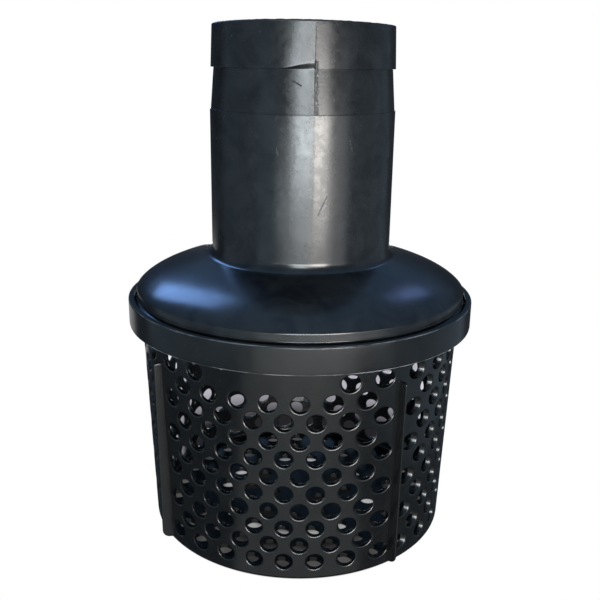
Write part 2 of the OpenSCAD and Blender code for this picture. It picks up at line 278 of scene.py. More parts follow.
class Tree:
    """Short calls for building the nodes of a material or a world."""

    def __init__(self, owner, place="Object"):
        self.owner = owner
        owner.use_nodes = True
        self.nodes = owner.node_tree.nodes
        self.links = owner.node_tree.links
        self.nodes.clear()
        self.place = self.node("ShaderNodeTexCoord").outputs[place]

    def node(self, kind, **settings):
        made = self.nodes.new(kind)
        for key, value in settings.items():
            setattr(made, key, value)
        return made

    def join(self, source, target):
        if hasattr(source, "is_output"):
            self.links.new(source, target)
        else:
            target.default_value = source

    def math(self, operation, *values, clamp=False):
        made = self.node("ShaderNodeMath", operation=operation, use_clamp=clamp)
        for socket, value in zip(made.inputs, values):
            self.join(value, socket)
        return made.outputs[0]

    def times(self, *values):
        return self.math("MULTIPLY", *values)

    def plus(self, *values):
        return self.math("ADD", *values)

    def axes(self, source=None):
        """The X, Y and Z of the place on the object, or of another vector."""
        made = self.node("ShaderNodeSeparateXYZ")
        self.join(source or self.place, made.inputs[0])
        return made.outputs

    def vector(self, operation, *values):
        made = self.node("ShaderNodeVectorMath", operation=operation)
        sockets = [made.inputs[0], made.inputs[3 if operation == "SCALE" else 1]]
        for socket, value in zip(sockets, values):
            self.join(value, socket)
        return made.outputs["Value" if operation in ("LENGTH", "DOT_PRODUCT") else "Vector"]

    def stretched(self, scale):
        """The place on the object, scaled along each axis."""
        made = self.node("ShaderNodeMapping")
        self.join(self.place, made.inputs["Vector"])
        made.inputs["Scale"].default_value = scale
        return made.outputs[0]

    def noise(self, scale, detail=3.0, roughness=0.5, place=None, distortion=0.0):
        made = self.node("ShaderNodeTexNoise")
        self.join(place or self.place, made.inputs["Vector"])
        made.inputs["Scale"].default_value = scale
        made.inputs["Detail"].default_value = detail
        made.inputs["Roughness"].default_value = roughness
        made.inputs["Distortion"].default_value = distortion
        return made.outputs["Fac"]

    def level(self, value, low, high, out_low=0.0, out_high=1.0):
        """Maps a range of values onto another, with clamped ends."""
        made = self.node("ShaderNodeMapRange")
        ends = {"From Min": low, "From Max": high, "To Min": out_low, "To Max": out_high}
        for name, number in ends.items():
            self.join(number, made.inputs[name])
        self.join(value, made.inputs["Value"])
        return made.outputs[0]

    def mix(self, share, one, other):
        made = self.node("ShaderNodeMix", data_type="RGBA")
        self.join(share, made.inputs[0])
        self.join(one if hasattr(one, "is_output") else (*one, 1), made.inputs[6])
        self.join(other if hasattr(other, "is_output") else (*other, 1), made.inputs[7])
        return made.outputs[2]

    def either(self, share, one, other):
        """A mix of two shaders."""
        made = self.node("ShaderNodeMixShader")
        for socket, source in zip(made.inputs, (share, one, other)):
            self.join(source, socket)
        return made.outputs[0]

    def bump(self, height, strength, distance, under=None):
        made = self.node("ShaderNodeBump")
        made.inputs["Strength"].default_value = strength
        made.inputs["Distance"].default_value = distance
        self.join(height, made.inputs["Height"])
        if under is not None:
            self.join(under, made.inputs["Normal"])
        return made.outputs[0]

    def shade(self, color, roughness, normal=None, **fixed):
        """The surface shader. Numbers that are the same all over are set on its own sockets."""
        shader = self.node("ShaderNodeBsdfPrincipled")
        self.join(color if hasattr(color, "is_output") else (*color, 1), shader.inputs["Base Color"])
        self.join(roughness, shader.inputs["Roughness"])
        if normal is not None:
            self.join(normal, shader.inputs["Normal"])
        for key, value in fixed.items():
            shader.inputs[key.replace("_", " ")].default_value = value
        self.join(shader.outputs[0], self.node("ShaderNodeOutputMaterial").inputs["Surface"])
        return self.owner


def scratch(tree, start, end, width):
    """Mask of one straight scratch on the tail, between two points given as (angle, height)."""
    axes = tree.axes()
    angle = tree.math("ARCTAN2", axes["X"], tree.times(axes["Y"], -1.0))
    flat = tree.node("ShaderNodeCombineXYZ")
    tree.join(tree.times(angle, TAIL_R * MM), flat.inputs["X"])
    tree.join(axes["Z"], flat.inputs["Y"])
    one, other = [Vector((math.radians(a) * TAIL_R * MM, z * MM, 0)) for a, z in (start, end)]
    along = other - one
    away = tree.vector("SUBTRACT", flat.outputs[0], tuple(one))
    reach = tree.vector("DOT_PRODUCT", away, tuple(along))
    share = tree.math("DIVIDE", reach, along.length_squared, clamp=True)
    nearest = tree.node("ShaderNodeVectorMath", operation="SCALE")
    nearest.inputs[0].default_value = tuple(along)
    tree.join(share, nearest.inputs[3])
    distance = tree.vector("LENGTH", tree.vector("SUBTRACT", away, nearest.outputs["Vector"]))
    return tree.level(distance, width * MM * 0.4, width * MM, 1.0, 0.0)


def moulded_plastic(name, dark, light, smoothness, scratches=(), burrs_and_highlights=(), dust=0.0):
    """Satin black polypropylene: fine grain, faint clouding, and scuffs where a hose rubs the tail.

    A pale line along a moulded edge is given as (distance from the axis, height, strength).
    The one along the collar's top edge is a painted highlight.
    Dust roughens and pales the level faces on top of the collar.
    """
    tree = Tree(bpy.data.materials.new(name))
    axes = tree.axes()
    tail = tree.level(axes["Z"], (FOOT_Z - 2) * MM, (FOOT_Z + 14) * MM)
    worn = tree.plus(tree.times(tail, 0.75), 0.25)
    mottle = tree.noise(55, 4, 0.6, distortion=0.8)
    color = tree.mix(tree.level(mottle, 0.35, 0.7), dark, light)
    streaks = tree.noise(36, 5, 0.62, tree.stretched((1, 1, 0.3)), 0.5)
    wiped = tree.level(streaks, 0.35, 0.68, -0.06, 0.10)
    cloudy = tree.level(tree.noise(230, 3, 0.6), 0.35, 0.65, -0.03, 0.05)
    roughness = tree.times(tree.plus(wiped, cloudy), worn)
    roughness = tree.plus(roughness, tree.times(tail, 0.04))
    roughness = tree.plus(roughness, smoothness)
    cut_end = tree.level(axes["Z"], (RIM_Z - 1.5) * MM, (RIM_Z - 0.9) * MM, 0.0, 0.35)
    roughness = tree.plus(roughness, cut_end)
    if dust:
        facing = tree.axes(tree.node("ShaderNodeNewGeometry").outputs["Normal"])
        settled = tree.level(facing["Z"], 0.80, 0.96)
        at_top = tree.level(axes["Z"], COLLAR_LOW * MM, COLLAR_TOP * MM)
        settled = tree.times(settled, at_top)
        color = tree.mix(tree.times(settled, dust), color, (0.045, 0.05, 0.05))
        roughness = tree.plus(roughness, tree.times(settled, dust))

    speck = tree.level(tree.noise(1000, 1, 0.4), 0.76, 0.82)
    color = tree.mix(tree.times(speck, 0.30), color, (0.12, 0.12, 0.11))
    grain = tree.noise(2600, 2, 0.5)
    dents = tree.noise(420, 2, 0.5)
    sink = tree.noise(26, 2, 0.45)
    hairs = tree.noise(700, 2, 0.5, tree.stretched((0.05, 1.0, 1.4)), 1.2)
    normal = tree.bump(sink, 0.25, 0.0012)
    normal = tree.bump(tree.times(dents, worn), 0.18, 0.00012, normal)
    normal = tree.bump(tree.level(hairs, 0.62, 0.72), 0.08, 0.00005, normal)
    normal = tree.bump(grain, 0.08, 0.00004, normal)
    # Pale lines along moulded edges; the one along the collar's top edge is a painted highlight
    for pale_line_r, pale_line_z, strength in burrs_and_highlights:
        flat = tree.vector("MULTIPLY", tree.place, (1, 1, 0))
        out = tree.math("GREATER_THAN", tree.vector("LENGTH", flat), pale_line_r * MM)
        off = tree.math("ABSOLUTE", tree.math("SUBTRACT", axes["Z"], pale_line_z * MM))
        uneven = tree.level(tree.noise(45, 3, 0.7), 0.42, 0.58, 0.15 * strength, strength)
        line = tree.times(tree.level(off, 0.25 * MM, 0.40 * MM, 1, 0), uneven)
        color = tree.mix(tree.times(line, out), color, (0.22, 0.23, 0.24))
    for start, end, width, depth in scratches:
        mask = scratch(tree, start, end, width)
        if depth < 0:
            mask = tree.times(mask, tree.level(tree.noise(800, 2, 0.6), 0.42, 0.60))
        shade = (0.004, 0.004, 0.005) if depth > 0 else (0.09, 0.09, 0.09)
        color = tree.mix(tree.times(mask, min(1, abs(depth)) * 0.8), color, shade)
        roughness = tree.plus(roughness, tree.times(mask, abs(depth) * 0.3))
        normal = tree.bump(tree.times(mask, -depth), 0.8, 0.0003, normal)
    return tree.shade(color, roughness, normal, IOR=1.5)


def rubber(name):
    """Matt nitrile rubber with a fine dusty grain."""
    tree = Tree(bpy.data.materials.new(name))
    dusty = tree.level(tree.noise(90, 4, 0.6), 0.35, 0.7)
    color = tree.mix(dusty, (0.020, 0.019, 0.018), (0.050, 0.048, 0.044))
    roughness = tree.level(tree.noise(60, 3), 0.3, 0.7, 0.62, 0.82)
    normal = tree.bump(tree.noise(1800, 3, 0.6), 0.35, 0.0001)
    return tree.shade(color, roughness, normal, IOR=1.52)


def turned_metal(name, dark, light, smoothness, pitch):
    """Metal turned on a lathe: fine rings around the axis, with stains and a little dulling."""
    tree = Tree(bpy.data.materials.new(name))
    stain = tree.noise(140, 4, 0.6)
    color = tree.mix(tree.level(stain, 0.3, 0.7), dark, light)
    axes = tree.axes()
    flat = tree.node("ShaderNodeCombineXYZ")
    tree.join(axes["X"], flat.inputs["X"])
    tree.join(axes["Y"], flat.inputs["Y"])
    spread = tree.plus(tree.vector("LENGTH", flat.outputs[0]), axes["Z"])
    rings = tree.node("ShaderNodeTexNoise", noise_dimensions="1D")
    tree.join(tree.times(spread, 1 / (pitch * MM)), rings.inputs["W"])
    rings.inputs["Scale"].default_value = 1.0
    roughness = tree.plus(tree.level(rings.outputs["Fac"], 0.3, 0.7, -0.06, 0.08), smoothness)
    roughness = tree.plus(roughness, tree.level(stain, 0.5, 0.8, 0.0, 0.15))
    normal = tree.bump(rings.outputs["Fac"], 0.25, 0.00005)
    return tree.shade(color, roughness, normal, Metallic=1.0)


def wire_metal(name):
    """Drawn spring wire: bright, with faint streaks and stains."""
    tree = Tree(bpy.data.materials.new(name))
    stain = tree.noise(220, 4, 0.6)
    color = tree.mix(tree.level(stain, 0.3, 0.7), (0.42, 0.42, 0.41), (0.66, 0.66, 0.64))
    roughness = tree.level(stain, 0.3, 0.75, 0.2, 0.42)
    normal = tree.bump(tree.noise(1500, 2), 0.2, 0.00004)
    return tree.shade(color, roughness, normal, Metallic=1.0)


# ---------------------------------------------------------------- hose tail and bell

# Control points of the bell's outside, and of the curve that its inside follows at the wall's depth
BELL_OUTSIDE = [
    (TAIL_R, FOOT_Z - 4.4), (TAIL_R + 7, FOOT_Z - 7.3),
    (BELL_R - 9.5, BELL_EDGE + 11.8), (BELL_R, BELL_EDGE)
]
BELL_CURVE = [
    (TAIL_R, FOOT_Z), (TAIL_R + 7, FOOT_Z - 7.5),
    (BELL_R - 10.5, BELL_EDGE + 11), (BELL_R, BELL_EDGE)
]


def bell_point(t, depth=0.0, curve=BELL_CURVE):
    """A point (r, z) on one of the bell's curves, or at a depth under it."""
    p = [Vector(q) for q in curve]
    u = 1 - t
    point = u ** 3 * p[0] + 3 * t * u * u * p[1] + 3 * t * t * u * p[2] + t ** 3 * p[3]
    slope = 3 * u * u * (p[1] - p[0]) + 6 * t * u * (p[2] - p[1]) + 3 * t * t * (p[3] - p[2])
    inward = Vector((slope.y, -slope.x)).normalized()
    return tuple(point + depth * inward)


def outer_profile(step_rise, lip_r):
    """Outside (r, z) from the skirt up to the rim. The lip starts with a step out to a radius."""
    skirt = [(BELL_R - BELL_WALL, SKIRT_LOW), (BELL_R - 0.5, SKIRT_LOW), (BELL_R, SKIRT_LOW + 0.5)]
    bead = [(0, 0), (0.7, 0.7), (0.7, 1.5), (-0.3, 2.2)]
    groove = [(-1.0, 2.7), (-1.0, 3.8)]
    snap = [(BELL_R + r, BEAD_Z + z) for r, z in bead + groove]
    edge_low = arc((BELL_R - 0.35, BEAD_Z + 4.5), 0.5, -80, 45, 7)
    edge_top = arc((BELL_R - 2, BELL_EDGE - 0.8), 2, 0, 44, 6)
    bell = [bell_point(t / 22, 0.0, BELL_OUTSIDE) for t in range(21, 2, -1)]
    foot = [(TAIL_R + 4.6 + r, FOOT_Z + 0.65 + 1.4 * z) for r, z in arc((0, 0), 4.6, 256, 180, 12)]
    tail = [(TAIL_R, FOOT_Z + (SEAM_Z - FOOT_Z - 1) * k / 24) for k in range(1, 25)]
    cone_r = TAIL_R - 0.6
    shoulder = [(TAIL_R, SEAM_Z - 0.35), (TAIL_R - 0.1, SEAM_Z - 0.1), (cone_r, SEAM_Z)]
    cone = [
        (cone_r + (NECK_R - cone_r) * k / 44, SEAM_Z + 0.15 + (LIP_STEP_Z - SEAM_Z - 0.3) * k / 44)
        for k in range(45)
    ]
    step = [
        (NECK_R + (lip_r - NECK_R) * smooth(k / 10), LIP_STEP_Z + step_rise * k / 10) for k in range(11)
    ]
    lip_low = LIP_STEP_Z + step_rise
    lip = [
        (lip_r + (RIM_R - lip_r) * k / 16, lip_low + (RIM_Z - 1.1 - lip_low) * k / 16)
        for k in range(1, 17)
    ]
    rim = arc((RIM_R - 1.1, RIM_Z - 1.1), 1.1, 15, 90, 5)
    lower = skirt + snap + edge_low + edge_top + bell + foot
    return lower + tail + shoulder + cone + step + lip + rim


def inner_profile():
    """Inside (r, z) from the rim down to the skirt."""
    rim = arc((BORE_R + 0.5, RIM_Z - 0.5), 0.5, 90, 180, 4)
    bore = [(BORE_R, RIM_Z - 4), (BORE_R, SEAM_Z + 20), (BORE_R, SEAM_Z + 0.4)]
    throat = [
        (BORE_R + 0.1, SEAM_Z - 0.4), (BORE_R + 1.1, (SEAM_Z + FOOT_Z) / 2), (THROAT_R, FOOT_Z + 2)
    ]
    bell = [bell_point(t / 22, BELL_WALL) for t in range(1, 23)]
    return rim + bore + throat + bell + [(BELL_R - BELL_WALL, BELL_EDGE - 5)]


def worn_rim(z, from_line):
    """Lowers a point near the rim, which was cut a little wavy and is nicked."""
    dip = 0.10 + 0.16 * rough(from_line * 0.22, 31, 0) + 0.12 * rough(from_line * 1.1, 41, 0)
    dip += 0.5 - 0.5 * math.cos(math.radians(2 * (from_line + MOULD_LINE)))
    nick = max(0, rough(from_line * 0.55, 57, 2) - 0.42) * 2.6
    return z - smooth((z - RIM_Z + 2.5) / 2.5) * max(dip + nick, 0)


def mould_flaws(r, z, from_line):
    """Moves an outside point of the tail for the mould line's flash, the seam and the worn rim."""
    if z < FOOT_Z + 1:
        return r, z
    flash_top = 299
    side = 1 if from_line > 0 else -1
    across = abs(from_line) if abs(from_line) < 90 else 180 - abs(from_line)
    away = math.radians(across) * r
    rise = smooth((z - FOOT_Z - 4) / 50)
    r += 0.22 * math.exp(-away / 5.0) * rise
    if SEAM_Z < z < flash_top:
        jag = 0.5 + 0.5 * rough(z * 1.1, side * 3, 4) + 0.5 * rough(z * 3.3, 7, side)
        r += max(0, 1 - away / 0.6) * (0.02 + 0.10 * max(jag, 0))
        r += 0.10 * rough(z * 0.9, away * 0.8, 11) * math.exp(-away / 3.0)
    else:
        r += max(0, 1 - away / 0.5) * (0.05 + 0.10 * max(rough(z * 0.7, 5, side), 0)) * rise
    if abs(z - SEAM_Z) < 0.5:
        z += 0.14 * rough(from_line * 0.35, 20, 3)
    r += smooth((z - RIM_Z + 2.5) / 2.5) * 0.10 * rough(from_line * 0.9, 66, 2)
    return r, worn_rim(z, from_line)


def make_upper_body():
    """The lip's lower step is sharp, but curls up and softens before it reaches each mould line."""
    near = (0.0, 0.16, 0.36, 0.62)
    turns = list(near) + list(range(1, 180)) + [180 - n for n in reversed(near[1:])]
    columns = [-t for t in reversed(turns[1:])] + turns + [180.0]
    curl_span = 22
    curled = outer_profile(3.9, LIP_R - 1.0)
    plain = outer_profile(0.35, LIP_R)
    inner = inner_profile()
    b = Builder()
    rings = []
    for from_line in columns:
        share = smooth(1 - (-from_line % 180) / curl_span)
        ring = []
        for (r0, z0), (r1, z1) in zip(plain, curled):
            r, z = mould_flaws(r0 + (r1 - r0) * share, z0 + (z1 - z0) * share, from_line)
            ring.append(b.add(around(r, MOULD_LINE + from_line, z)))
        ring += [b.add(around(r, MOULD_LINE + from_line, worn_rim(z, from_line))) for r, z in inner]
        rings.append(ring)
    b.skin(rings + rings[:1])
    add_bosses(b)
    return b.make("upper_body_moulding")


def ceiling_z(r):
    """Height of the bell's inside at a distance from the axis."""
    points = sorted(bell_point(t / 22, BELL_WALL) for t in range(23))
    return float(np.interp(r, [p[0] for p in points], [p[1] for p in points]))


def add_bosses(b):
    """The screw bosses under the bell, each with a pilot hole and a web out to the skirt."""
    sides = 32
    pilot_r = 2.0
    pilot_top = BOSS_LOW + 14
    for k in range(SCREWS):
        middle = (k + 0.5) * 360 / SCREWS
        centre = Vector(around(BOSS_PITCH_R, middle, 0))

        def circle(radius, z=None):
            """A ring around the boss at a height, or just inside the bell's wall."""
            return [
                b.add((x, y, ceiling_z(math.hypot(x, y)) + 1.8 if z is None else z))
                for x, y in circle_points(radius, sides, centre)
            ]

        rows = [circle(BOSS_R), circle(BOSS_R, BOSS_LOW + 0.4), circle(BOSS_R - 0.4, BOSS_LOW)]
        rows += [circle(pilot_r + 0.4, BOSS_LOW), circle(pilot_r, BOSS_LOW + 0.4)]
        rows.append(circle(pilot_r, pilot_top))
        b.skin(rows, inward=True)
        b.faces.append(tuple(rows[0]))
        b.faces.append(tuple(reversed(rows[-1])))
        corners = []
        for r in (BOSS_PITCH_R + 3, BELL_R - BELL_WALL + 0.8):
            out = Vector(around(r, middle, 0))
            across = Vector(around(1.5, middle + 90, 0))
            low_z = SKIRT_LOW + 1
            high_z = min(ceiling_z(r) + 1.5, BELL_EDGE + 6)
            corners += [out - across + Vector((0, 0, low_z)), out + across + Vector((0, 0, low_z))]
            corners += [out + across + Vector((0, 0, high_z)), out - across + Vector((0, 0, high_z))]
        v = b.add_all(corners)
        b.faces += [(v[0], v[3], v[2], v[1]), (v[4], v[5], v[6], v[7])]
        b.strip([v[0], v[1], v[2], v[3]], [v[4], v[5], v[6], v[7]])


# ---------------------------------------------------------------- strainer basket

SECTOR_STEPS = 72


def wall_r(z):
    return WALL_BASE_R + WALL_LEAN * z


def plate(boundary, circles, radius, steps, extra=()):
    """A flat region with round holes: its 2-D points, its triangles and each hole's loop."""
    points = [Vector(p) for p in boundary]
    edges = [(k, (k + 1) % len(boundary)) for k in range(len(boundary))]
    loops = []
    for cx, cy in circles:
        start = len(points)
        points += [Vector(p) for p in circle_points(radius, steps, (cx, cy))]
        edges += [(start + k, start + (k + 1) % steps) for k in range(steps)]
        loops.append(range(start, start + steps))
    points += [Vector(p) for p in extra]
    out, _, faces, sources, _, _ = delaunay_2d_cdt(points, edges, [], 0, 1e-5)
    where = {source: k for k, listed in enumerate(sources) for source in listed}
    coords = np.array([tuple(p) for p in out])
    faces = np.array([tuple(f) for f in faces])
    middle = coords[faces].mean(axis=1)
    keep = np.ones(len(faces), bool)
    for cx, cy in circles:
        keep &= np.hypot(middle[:, 0] - cx, middle[:, 1] - cy) > radius * 0.985
    a, c, d = (coords[faces[:, k]] for k in range(3))
    area = (c[:, 0] - a[:, 0]) * (d[:, 1] - a[:, 1]) - (c[:, 1] - a[:, 1]) * (d[:, 0] - a[:, 0])
    keep &= np.abs(area) > 1e-6
    faces = np.where((area > 0)[:, None], faces, faces[:, ::-1])[keep]
    return coords, faces, [[where[k] for k in loop] for loop in loops]


def wall_side(blank):
    """One quarter of the perforated wall, facing the front: outside, inside and bores."""
    steps = 28
    round_out = 1.0
    round_in = 0.6
    holes = [
        (i * COLUMN_PITCH, TOP_ROW - row * ROW_PITCH)
        for row in range(ROWS) for i in range(-LAST_COLUMN, LAST_COLUMN + 1)
        if (row + i) % 2 and not (blank and row == 0 and abs(i) <= LAST_BLANK_COLUMN)
    ]
    b = Builder()

    def surface(low, high, thickness, lip, facing):
        """A skin of the wall between two heights, with its holes widened by the lip's rounding."""
        def at(x, z):
            r = wall_r(z) - thickness
            return Vector((x, -math.sqrt(r * r - x * x), z))

        turns = [math.radians(-45 + 90 * k / SECTOR_STEPS) for k in range(SECTOR_STEPS + 1)]
        rise = [low + (high - low) * k / 24 for k in range(1, 24)]
        sine = math.sin(math.radians(45))
        boundary = [((wall_r(low) - thickness) * math.sin(t), low) for t in turns]
        boundary += [((wall_r(z) - thickness) * sine, z) for z in rise]
        boundary += [((wall_r(high) - thickness) * math.sin(t), high) for t in reversed(turns)]
        boundary += [(-(wall_r(z) - thickness) * sine, z) for z in reversed(rise)]
        clear = HOLE_R + lip + 1.3
        extra = [
            (x * 3.0, z) for x in range(-24, 25) for z in rise
            if abs(x * 3.0) < wall_r(z) * sine - 4.5
            and all(math.hypot(x * 3.0 - cx, z - cz) > clear for cx, cz in holes)
        ]
        coords, faces, loops = plate(boundary, holes, HOLE_R + lip, steps, extra)
        ids = []
        for x, z in coords:
            p = at(x, z)
            n = Vector((p.x, p.y, -WALL_LEAN * (wall_r(z) - thickness))).normalized()
            ids.append(b.add(p, n * facing))
        order = (0, 1, 2) if facing > 0 else (2, 1, 0)
        b.faces += [tuple(ids[f[k]] for k in order) for f in faces.tolist()]
        return at, [[ids[v] for v in loop] for loop in loops]

    outside, out_loops = surface(BASE_ROUND, COLLAR_LOW, 0, round_out, 1)
    inside, in_loops = surface(FLOOR_T + INNER_ROUND, LEDGE_Z, WALL_T, round_in, -1)
    for (cx, cz), out_loop, in_loop in zip(holes, out_loops, in_loops):
        rows = [out_loop]
        for at, lip, into, shares in (
            (outside, round_out, 1, (0.3, 0.62, 1)), (inside, round_in, -1, (1, 0.5))
        ):
            for t in shares:
                row = []
                for k in range(steps):
                    a = 2 * math.pi * k / steps
                    c, s = math.cos(a), math.sin(a)
                    start = at(cx + (HOLE_R + lip) * c, cz + (HOLE_R + lip) * s)
                    corner = at(cx + HOLE_R * c, cz + HOLE_R * s)
                    end = corner + Vector((0, lip * into, 0))
                    row.append(b.add((1 - t) ** 2 * start + 2 * t * (1 - t) * corner + t * t * end))
                rows.append(row)
        rows.append(in_loop)
        b.skin(rows, inward=True)
    return b


def circle_row(b, r, z, columns=4 * SECTOR_STEPS):
    """A ring of points about the axis that meets the wall's points."""
    return [b.add(around(r, 360 * k / columns + 45, z)) for k in range(columns)]


def add_floor(b):
    """Perforated floor with rounded hole edges, and the rounds up to the wall outside and inside."""
    steps = 24
    edge = 0.35
    columns = 4 * SECTOR_STEPS
    circles = []
    for ring in range(1, 6):
        ring_r = ring * FLOOR_RING_PITCH
        count = round(2 * math.pi * ring_r / FLOOR_HOLE_PITCH)
        for i in range(count):
            x, y, _ = around(ring_r, FLOOR_RING_TURNS[ring - 1] + i * 360 / count, 0)
            circles.append((x, y))
    low_r = wall_r(BASE_ROUND) - BASE_ROUND
    high_r = wall_r(FLOOR_T + INNER_ROUND) - WALL_T - INNER_ROUND
    skins = []
    for z, rim_r, facing in ((0, low_r, -1), (FLOOR_T, high_r, 1)):
        boundary = [around(rim_r, 360 * k / columns + 45, 0)[:2] for k in range(columns)]
        coords, faces, loops = plate(boundary, circles, HOLE_R + edge, steps)
        ids = [b.add((x, y, z), (0, 0, facing)) for x, y in coords]
        order = (0, 1, 2) if facing > 0 else (2, 1, 0)
        b.faces += [tuple(ids[f[k]] for k in order) for f in faces.tolist()]
        skins.append([[ids[v] for v in loop] for loop in loops])
    for (cx, cy), low_loop, high_loop in zip(circles, *skins):
        rows = [low_loop]
        for r, z in ((0.1, 0.1), (0, 0.35), (0, FLOOR_T - 0.35), (0.1, FLOOR_T - 0.1)):
            rows.append([b.add((x, y, z)) for x, y in circle_points(HOLE_R + r, steps, (cx, cy))])
        b.skin([*rows, high_loop])
    outer_round = arc((low_r, BASE_ROUND), BASE_ROUND, -90, 0, 8)
    inner_round = arc((high_r, FLOOR_T + INNER_ROUND), INNER_ROUND, -90, 0, 6)
    for profile, inward in ((outer_round, False), (inner_round, True)):
        b.skin([circle_row(b, r, z) for r, z in profile], inward)


def add_collar(b):
    """Collar around the top of the wall, with its groove for the bell's snap bead."""
    mouth_r = 107.1
    socket_r = 105.8
    socket_top = 149.2
    profile = [(r, COLLAR_LOW) for r in (wall_r(COLLAR_LOW), COLLAR_R - 5, COLLAR_R - 0.9)]
    profile += arc((COLLAR_R - 0.5, COLLAR_LOW + 0.5), 0.5, -90, 0, 4)
    profile += [(COLLAR_R, COLLAR_LOW + 3), (COLLAR_R, COLLAR_TOP - 3)]
    profile += arc((COLLAR_R - 0.9, COLLAR_TOP - 0.9), 0.9, 0, 90, 6)
    profile += [(COLLAR_R - 2.6, COLLAR_TOP)]
    profile += arc((mouth_r + 0.8, COLLAR_TOP - 0.8), 0.8, 90, 180, 4)
    profile += [(mouth_r, socket_top + 1), (socket_r, socket_top), (socket_r, LEDGE_Z)]
    profile.append((wall_r(LEDGE_Z) - WALL_T, LEDGE_Z))
    b.skin([circle_row(b, r, z) for r, z in profile])


def add_flash(b):
    """Thin broken burr along the collar's lower edge, with a few thicker specks."""
    columns = 1080
    specks = {-12.8: 0.6, 30.8: 0.5, 102.0: 0.4, 214.0: 0.5}
    rows = [[], [], []]
    for k in range(columns):
        angle = 360 * k / columns
        strength = smooth(0.5 + 1.6 * rough(angle * 0.045, 3, 8))
        height = strength * (0.16 + 0.14 * rough(angle * 0.9, 1, 5)) + 0.02
        for speck, size in specks.items():
            height += size * math.exp(-((angle - speck % 360) * 3.2) ** 2)
        for row, (r, z) in zip(rows, ((0.75, 0.2), (0.12, -height), (0.03, 0.45))):
            row.append(b.add(around(COLLAR_R - r, angle, COLLAR_LOW + z)))
    b.skin(rows + rows[:1])


def add_ribs(b):
    """Four upright ribs: a thin blade each, with a soft crest and a rounded lower corner."""
    corner = arc((RIB_FOOT_R - RIB_CORNER, RIB_LOW + RIB_CORNER), RIB_CORNER, -90, 0, 12)
    top = [(RIB_TOP_R, RIB_TOP - 0.8), (RIB_TOP_R - 0.35, RIB_TOP - 0.25), (RIB_TOP_R - 1.1, RIB_TOP)]
    low_z = corner[-1][1]
    high_z = top[0][1]
    straight = [
        (RIB_FOOT_R + (RIB_TOP_R - RIB_FOOT_R) * k / 12, low_z + (high_z - low_z) * k / 12)
        for k in range(1, 12)
    ]
    crest = 0.62
    for angle in (45, 135, 225, 315):
        along = Vector(around(1, angle, 0))
        across = Vector(around(1, angle + 90, 0))
        sections = []
        for r, z in corner + straight + top:
            base_r = wall_r(z) - WALL_T / 2
            body = [(base_r, -1.5), (min(base_r + 2.2, r - 0.9), -1.45), (r - 0.75, -crest - 0.12)]
            half = [*body, (r - 0.25, -crest + 0.1), (r - 0.04, -crest + 0.38)]
            outline = half + [(q, -w) for q, w in reversed(half)]
            sections.append([b.add(along * q + across * w + Vector((0, 0, z))) for q, w in outline])
        b.skin(sections)
        b.faces.append(tuple(reversed(sections[0])))
        b.faces.append(tuple(sections[-1]))


def make_basket():
    b = Builder()
    front = wall_side(blank=True)
    other = wall_side(blank=False)
    for quarter in range(4):
        b.turned(front if quarter == 0 else other, quarter)
    add_floor(b)
    add_collar(b)
    add_flash(b)
    add_ribs(b)
    return b.make("strainer_basket_moulding")


# ---------------------------------------------------------------- turned, threaded and wound pieces

STEM_R = 6.0
STEM_COLLAR_R = 9.0
THREAD_R = 5.0
THREAD_PITCH = 1.75
SPRING_R = 11.0
WIRE_R = 0.9
SPRING_TURNS = 6


def threaded_rows(b, low, high, radius, depth, pitch, centre=(0, 0), sides=48, fade=1.0):
    """Rows of points along a screw thread, which fades out at both ends."""
    rows = []
    count = max(2, round((high - low) / pitch * 8))
    for k in range(count + 1):
        z = low + (high - low) * k / count
        strength = smooth(min(z - low, high - z) / fade)
        row = []
        for s in range(sides):
            turn = (z / pitch + s / sides) % 1
            r = radius - depth * strength * abs(2 * turn - 1)
            a = 2 * math.pi * s / sides
            row.append(b.add((centre[0] + r * math.cos(a), centre[1] + r * math.sin(a), z)))
        rows.append(row)
    return rows


def plain_rows(b, outline, centre=(0, 0), sides=48):
    """Rows of points around a centre, one for each (r, z) of an outline."""
    return [[b.add((x, y, z)) for x, y in circle_points(r, sides, centre)] for r, z in outline]


def make_stem():
    """Stem with rolled threads at both ends, a ground sliding length, and the collar under the disc."""
    b = Builder()
    low, high = stem_low.z, stem_high.z
    collar_z = collar_seat_z - 3
    tip = ((1.1, 0), (0.9, 0.1), (0.1, 0.9))
    rows = plain_rows(b, [(THREAD_R - cut, low + rise) for cut, rise in tip])
    rows += threaded_rows(b, low + 1, cup_z - 0.2, THREAD_R, 0.55, THREAD_PITCH, fade=0.8)
    rows += plain_rows(b, [
        (THREAD_R, cup_z), (STEM_R - 0.3, cup_z), (STEM_R, cup_z + 0.3), (STEM_R, collar_z - 0.3),
        (STEM_R + 0.3, collar_z), (STEM_COLLAR_R - 0.3, collar_z), (STEM_COLLAR_R, collar_z + 0.3),
        (STEM_COLLAR_R, collar_seat_z - 0.3), (STEM_COLLAR_R - 0.3, collar_seat_z),
        (THREAD_R, collar_seat_z)
    ])
    rows += threaded_rows(b, collar_seat_z + 0.2, high - 1, THREAD_R, 0.55, THREAD_PITCH, fade=0.8)
    rows += plain_rows(b, [(THREAD_R - cut, high - rise) for cut, rise in reversed(tip)])
    b.skin(rows)
    b.faces += [tuple(reversed(rows[0])), tuple(rows[-1])]
    return b.make("stem_turned")


